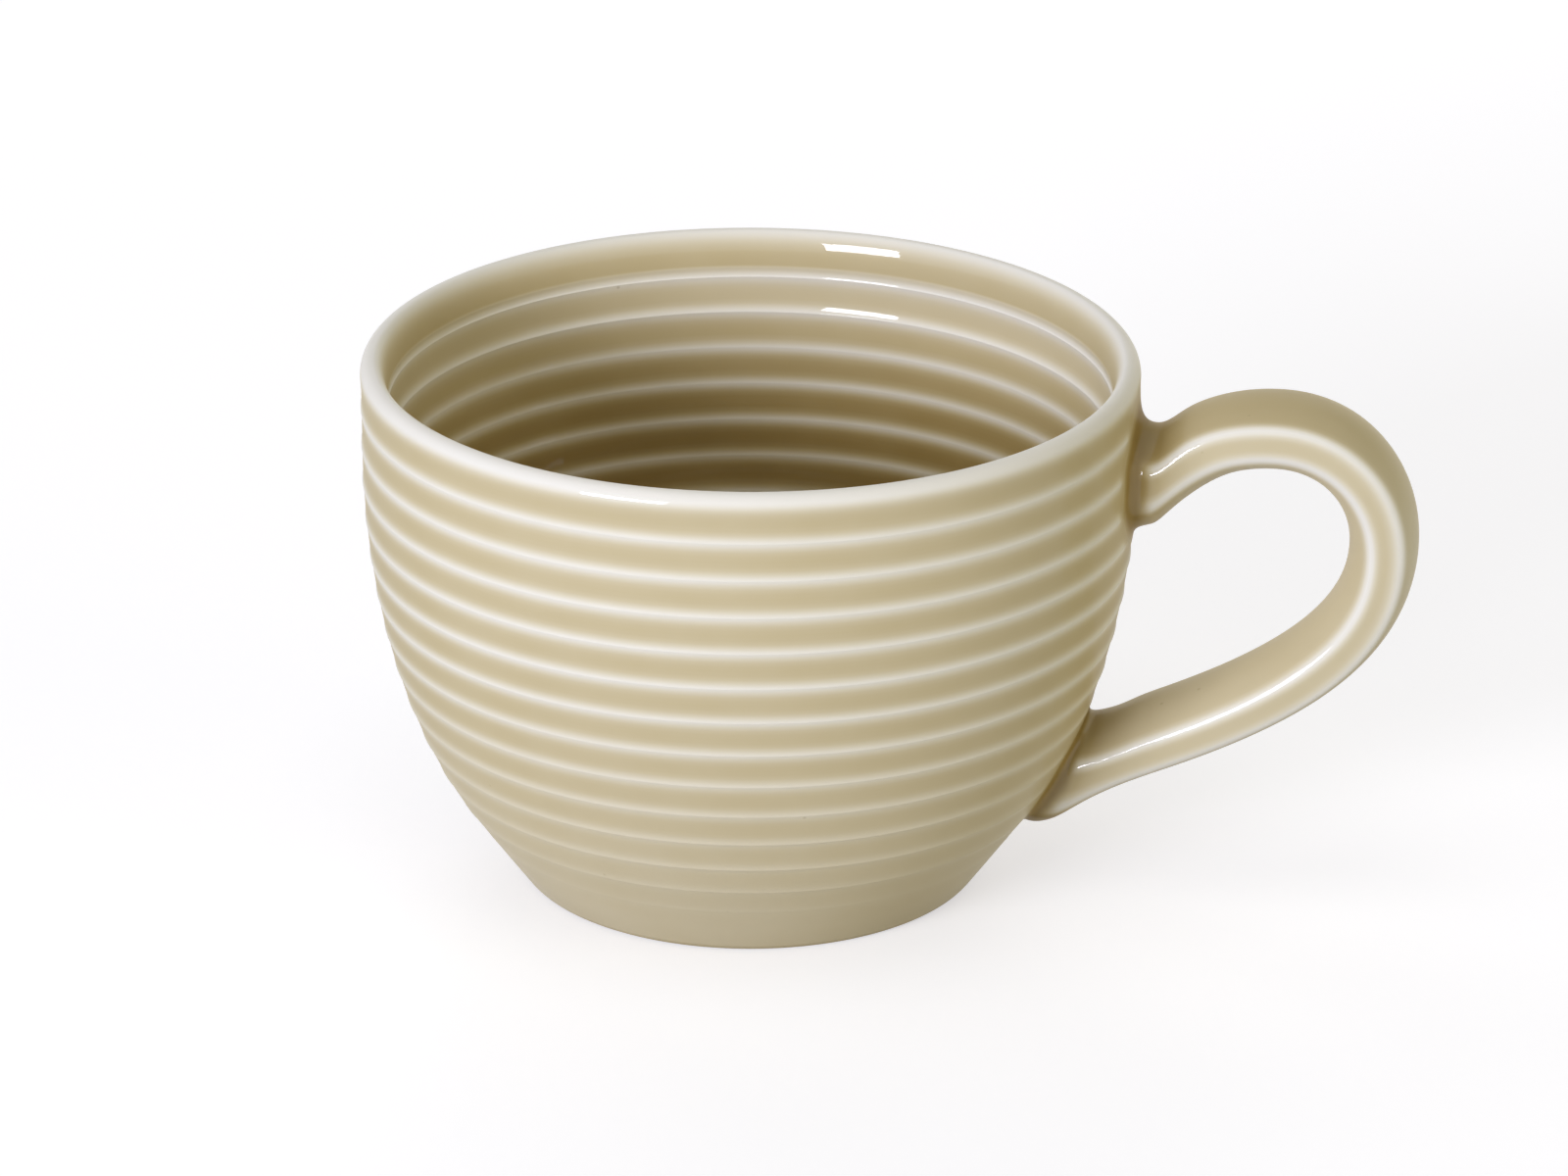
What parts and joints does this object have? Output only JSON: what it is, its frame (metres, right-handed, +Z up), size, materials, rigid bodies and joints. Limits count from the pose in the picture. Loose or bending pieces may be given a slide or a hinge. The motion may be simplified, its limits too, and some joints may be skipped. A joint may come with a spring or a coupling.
{
  "type": "espresso cup",
  "caption": "Glazed porcelain espresso cup: a ribbed round bowl on a recessed foot ring, with one looped strap handle stuck on with slip at both ends.",
  "frame": {"origin": "on the plane that the cup stands on, under the middle of its overall box, handle included; the bowl's axis is 11.96 mm towards -X", "axes": "+X from the bowl towards the handle, +Z up along the bowl's axis, +Y across the handle"},
  "size_m": [0.09, 0.066, 0.0464],
  "materials": {
    "bowl_glaze": "glossy translucent sand-coloured glaze, white over the crests of the ribs and the lip",
    "handle_glaze": "glossy translucent sand-coloured glaze, white along the edges of the strap",
    "joint_glaze": "the same glaze, pooled darker in the fillets"
  },
  "bodies": {
    "root": {"cup_body": "bowl_glaze", "handle": "handle_glaze", "upper_joint_slip": "joint_glaze", "lower_joint_slip": "joint_glaze"}
  },
  "joints": []
}
